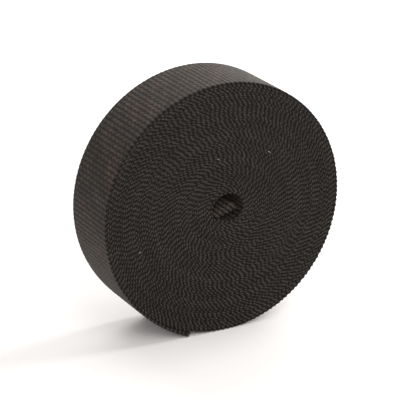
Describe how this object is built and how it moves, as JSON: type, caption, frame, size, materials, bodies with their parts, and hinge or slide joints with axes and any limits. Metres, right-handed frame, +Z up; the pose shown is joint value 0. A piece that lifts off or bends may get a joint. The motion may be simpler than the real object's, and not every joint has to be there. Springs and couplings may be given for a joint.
{
  "type": "exhaust heat wrap",
  "caption": "Long black woven heat-resistant tape wound in a tight spiral roll, standing on its edge, for wrapping hot exhaust pipes.",
  "frame": {"origin": "on the floor, under the middle of the roll's bounding box", "axes": "+Z up, Y along the roll's axis with the front end towards -Y, +X to the right as seen from the front"},
  "size_m": [0.1776, 0.0508, 0.1768],
  "materials": {
    "woven_tape": "coarse woven, matt, dark grey-black"
  },
  "bodies": {
    "root": {"wrap_roll": "woven_tape"}
  },
  "joints": []
}
